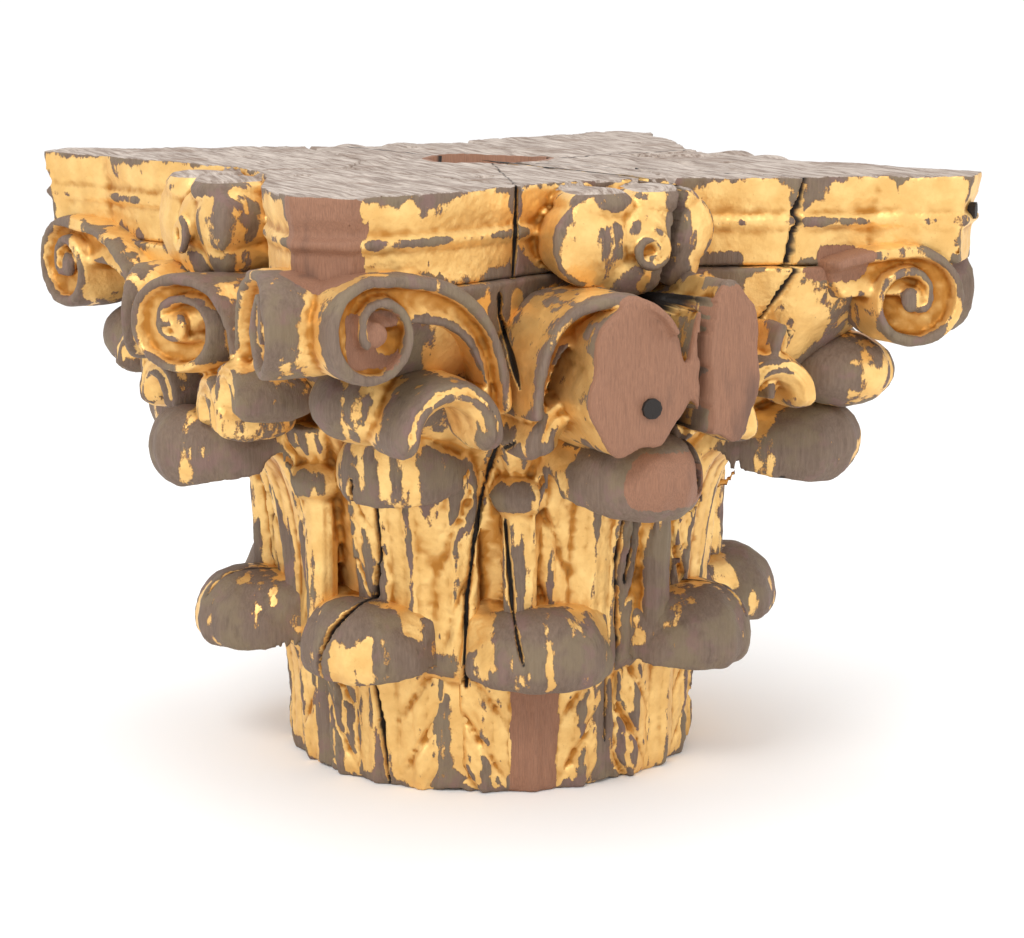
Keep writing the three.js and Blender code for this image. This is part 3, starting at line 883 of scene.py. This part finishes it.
class Finish:
    """A material under construction."""

    def __init__(self, name):
        self.material = bpy.data.materials.new(name)
        self.material.use_nodes = True
        self.tree = self.material.node_tree
        self.shader = self.tree.nodes["Principled BSDF"]
        self.place = self.node("ShaderNodeTexCoord", {}, {}).outputs["Object"]

    def node(self, kind, settings, inputs):
        """Adds a node: its settings first, then values or links for its sockets."""
        node = self.tree.nodes.new(kind)
        for key, value in settings.items():
            setattr(node, key, value)
        for key, value in inputs.items():
            self.plug(node.inputs[key], value)
        return node

    def plug(self, socket, value):
        if isinstance(value, Value):
            value = value.socket
        if isinstance(value, bpy.types.NodeSocket):
            self.tree.links.new(value, socket)
        else:
            socket.default_value = value

    def stretched(self, scale, turn=(0, 0, 0)):
        node = self.node("ShaderNodeMapping", {}, {"Vector": self.place, "Scale": scale, "Rotation": turn})
        return node.outputs[0]

    def noise(self, scale, detail=4, rough=0.55, where=None, distortion=0.0):
        node = self.node("ShaderNodeTexNoise", {}, {
            "Vector": self.place if where is None else where, "Scale": scale, "Detail": detail,
            "Roughness": rough, "Distortion": distortion})
        return Value(self, node.outputs["Fac"])

    def cells(self, scale):
        node = self.node("ShaderNodeTexVoronoi", {"feature": "F1"}, {"Vector": self.place, "Scale": scale})
        return Value(self, node.outputs["Distance"])

    def attribute(self, name):
        node = self.node("ShaderNodeAttribute", {"attribute_name": name}, {})
        parts = self.node("ShaderNodeSeparateColor", {}, {"Color": node.outputs["Color"]})
        return [Value(self, parts.outputs[i]) for i in range(3)] + [Value(self, node.outputs["Alpha"])]

    def mix(self, share, first, second):
        """A colour part of the way from the first to the second."""
        node = self.node("ShaderNodeMix", {"data_type": "RGBA", "blend_type": "MIX"}, {"Factor": share})
        self.plug(node.inputs[6], first)
        self.plug(node.inputs[7], second)
        return node.outputs[2]

    def bump(self, height, depth):
        node = self.node("ShaderNodeBump", {}, {"Height": height, "Distance": depth, "Strength": 1.0})
        return node.outputs[0]


def colour(r, g, b):
    """A colour given as a painter reads it, from 0 to 255, in the linear numbers that a shader wants."""
    linear = [((c / 255 + 0.055) / 1.055) ** 2.4 if c > 10 else c / 255 / 12.92 for c in (r, g, b)]
    return (*linear, 1.0)


# %% [markdown]
# ## Gilded wood
# Gold leaf on red clay, over gesso, over wood. The leaf is a metal with a soft shine. Where it has worn
# through, a thin edge of purplish clay shows first, and then grey-brown wood whose grain runs upright.
# Fresh breaks are pinker, the hollows are darkened as painted shade, and the splits are nearly black.

# %% The gilded finish
def gilded_wood(name):
    """Gold leaf, worn through to clay and wood where the painted values say so."""
    f = Finish(name)
    wear, hollow, bare, dark = f.attribute("finish")
    grey = f.attribute("weather")[0]
    upright = f.stretched((1.0, 1.0, 0.3))
    patches = f.noise(34, 3, 0.5, upright, 0.4)
    flakes = f.noise(150, 5, 0.65, upright)
    crumbs = f.noise(700, 3, 0.6)
    broad = f.noise(14, 2, 0.5, upright)
    loss = wear * 1.25 + (patches - 0.5) * 2.3 + (broad - 0.5) * 1.2 + (flakes - 0.5) * 0.9
    loss = loss + (crumbs - 0.5) * 0.25
    gone = loss.step(1.02, 1.06)
    edge = loss.step(0.97, 1.03) * (1 - gone)
    grain = f.noise(60, 6, 0.7, f.stretched((9, 9, 0.6)))
    fine_grain = f.noise(160, 5, 0.7, f.stretched((9, 9, 0.5)))
    gold = f.mix(f.noise(55, 4).step(0.3, 0.75), colour(226, 180, 108), colour(244, 204, 132))
    # painted shade: the gold turns orange-brown in the hollows
    gold = f.mix(hollow.step(0.02, 0.55), gold, colour(176, 116, 42))
    gold = f.mix(crumbs.step(0.62, 0.8) * 0.35, gold, colour(150, 96, 40))
    wood = f.mix(grain, colour(74, 56, 44), colour(142, 120, 102))
    wood = f.mix(f.noise(30, 4).step(0.45, 0.62) * 0.55, wood, colour(128, 112, 84))
    clay = f.noise(44, 4, 0.6, f.stretched((1, 1, 1), (0, 0, 1))).step(0.52, 0.66) * 0.6
    wood = f.mix(clay, wood, colour(126, 96, 90))
    wood = f.mix(flakes.step(0.55, 0.75) * 0.45, wood, colour(70, 52, 40))
    fresh = f.mix(fine_grain, colour(92, 60, 45), colour(176, 126, 96))
    fresh = f.mix(f.noise(26, 3, 0.5, upright).step(0.58, 0.72) * 0.75, fresh, colour(84, 62, 52))
    boards = f.noise(30, 6, 0.7, f.stretched((9, 0.7, 9)))
    stale = f.mix(boards.step(0.3, 0.7), colour(112, 92, 78), colour(196, 182, 170))
    stale = f.mix(f.noise(24, 5).step(0.5, 0.72) * 0.7, stale, colour(122, 98, 80))
    is_bare = (bare + (flakes - 0.5) * 1.1).step(0.46, 0.5)
    is_grey = (grey + (flakes - 0.5) * 0.4).step(0.4, 0.55)
    look = f.mix(gone, gold, wood)
    look = f.mix(edge * 0.7, look, colour(148, 96, 66))
    look = f.mix(is_bare, look, fresh)
    look = f.mix(is_grey, look, stale)
    # painted shade: the deepest hollows go dark brown
    look = f.mix(hollow.step(0.45, 1.0) * 0.55, look, colour(58, 36, 18))
    look = f.mix(dark.step(0.3, 0.8), look, colour(26, 17, 11))
    is_gold = (1 - gone) * (1 - is_bare) * (1 - is_grey) * (1 - dark.step(0.2, 0.5))
    f.plug(f.shader.inputs["Base Color"], look)
    f.plug(f.shader.inputs["Metallic"], is_gold * 0.7)
    f.plug(f.shader.inputs["Roughness"], is_gold * (-0.22) + 0.68 + (crumbs - 0.5) * 0.2)
    pebble = f.cells(260) * 0.35 + f.noise(420, 4, 0.6) * 0.5
    relief = is_gold * (pebble + 0.9) + (1 - is_gold) * (grain * 0.9 + fine_grain * 0.5)
    f.plug(f.shader.inputs["Normal"], f.bump(relief, 0.0006))
    return f.material


# %% [markdown]
# ## Where the wood is bare
# Breaks and cuts show fresh wood. Each is marked by a box in one face's own coordinates, and the shader's
# noise makes its edge ragged.

# %% Bare places
BARE_BOXES = [
    # face, across from and to, depth from and to, height from and to
    (0, -70, 66, 284, 300, 262, 376),
    (0, -40, 46, 270, 300, 228, 266),
    (0, 130, 172, 228, 262, 368, 392),
    (0, -222, -184, 246, 262, 332, 368),
    (-45, -26, 26, 300, 330, 378, 445),
    (LOWER_TURN, -17, 17, 120, 158, -5, 82),
]


def bare_wood(co):
    """1 inside the boxes, 0 outside them, with a soft edge."""
    points = co / MM
    bare = np.zeros(len(co))
    for azimuth, s0, s1, d0, d1, z0, z1 in BARE_BOXES:
        a = math.radians(azimuth)
        across = points[:, 0] * math.cos(a) + points[:, 1] * math.sin(a)
        depth = points[:, 0] * math.sin(a) - points[:, 1] * math.cos(a)
        inside = (smooth(s0 - 8, s0 + 8, across) * (1 - smooth(s1 - 8, s1 + 8, across))
                  * smooth(d0 - 2, d0 + 2, depth) * (1 - smooth(d1 - 2, d1 + 2, depth))
                  * smooth(z0 - 7, z0 + 7, points[:, 2]) * (1 - smooth(z1 - 7, z1 + 7, points[:, 2])))
        bare = np.maximum(bare, inside)
    return bare


# %% Make the pieces
gilded = gilded_wood("gilded_wood")
for piece, node, triangles in (
    (lower_leaves(), "bell", 190000),
    (upper_leaves(), "bell", 190000),
    (scrolls("front_scrolls", (0, 270)), "bell", 190000),
    (scrolls("back_scrolls", (90, 180)), "bell", 150000),
    (abacus(), "abacus", 190000),
):
    carve(piece, SPLITS)
    thin(piece, triangles)
    co, normal = read_points(piece.data)
    _, dark = split_depth(co, SPLITS)
    bare = bare_wood(co)
    grey = np.zeros(len(co))
    if node == "abacus":
        grey = smooth(HEIGHT - 7, HEIGHT - 4, co[:, 2] / MM) * smooth(0.3, 0.7, normal[:, 2])
        dark = np.maximum(dark, smooth(1.5, 3.5, top_marks(co)))
        bare = np.maximum(bare, broken_patch(co))
        grey = grey * (1 - broken_patch(co))
        from_bore = np.hypot(co[:, 0] / MM - SOCKET["x"], co[:, 1] / MM - SOCKET["y"])
        inside = 1 - smooth(SOCKET["across"] * 0.54, SOCKET["across"] * 0.56, from_bore)
        bare = np.maximum(bare, inside)
        grey = grey * (1 - inside)
    paint(piece, bare=bare, dark=dark, grey=grey)
    piece.data.materials.clear()
    piece.data.materials.append(gilded)
    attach(piece, "root")
    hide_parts(node)

for peg in ("helix_peg", "horn_peg"):
    part = bpy.data.objects[peg]
    part.data.materials.clear()
    part.data.materials.append(gilded)

# %% [markdown]
# ## Studio
# A pale floor that runs out of sight, a white surround, and large soft lamps, the strongest up to the left.

# %% Floor, light and camera
world = bpy.data.worlds.new("studio")
bpy.context.scene.world = world
world.use_nodes = True
world.node_tree.nodes["Background"].inputs["Color"].default_value = (1.0, 1.0, 1.0, 1.0)
world.node_tree.nodes["Background"].inputs["Strength"].default_value = 1.08

floor_mesh = bmesh.new()
bmesh.ops.create_grid(floor_mesh, x_segments=2, y_segments=2, size=12)
bmesh.ops.translate(floor_mesh, verts=floor_mesh.verts, vec=(0, 0, -0.0005))
floor = as_object("floor", floor_mesh)
paper = Finish("paper")
paper.shader.inputs["Base Color"].default_value = (0.95, 0.95, 0.95, 1.0)
paper.shader.inputs["Roughness"].default_value = 0.8
floor.data.materials.append(paper.material)


def lamp(name, place, size, watts, aim=(0, 0, 0.22)):
    """A large round lamp, turned towards the middle of the capital."""
    light = bpy.data.lights.new(name, "AREA")
    light.shape = "DISK"
    light.size = size
    light.energy = watts
    holder = bpy.data.objects.new(name, light)
    bpy.context.collection.objects.link(holder)
    way = np.array(aim) - np.array(place)
    holder.location = place
    holder.rotation_euler = Vector(way).to_track_quat("-Z", "Y").to_euler()


lamp("key", (-1.6, -1.5, 2.2), 1.0, 30)
lamp("fill", (1.9, -1.9, 1.1), 1.6, 7)
lamp("top", (0.1, 0.3, 2.6), 1.6, 12)

camera_data = bpy.data.cameras.new("camera")
camera = bpy.data.objects.new("camera", camera_data)
bpy.context.collection.objects.link(camera)
camera.location = (-0.8693, -1.8272, 0.5914)
camera.rotation_euler = (math.pi / 2 - 0.1875, 0, -0.45215)
camera_data.sensor_width = 36
camera_data.lens = 95.75
bpy.context.scene.camera = camera
bpy.context.scene.view_settings.view_transform = "Standard"
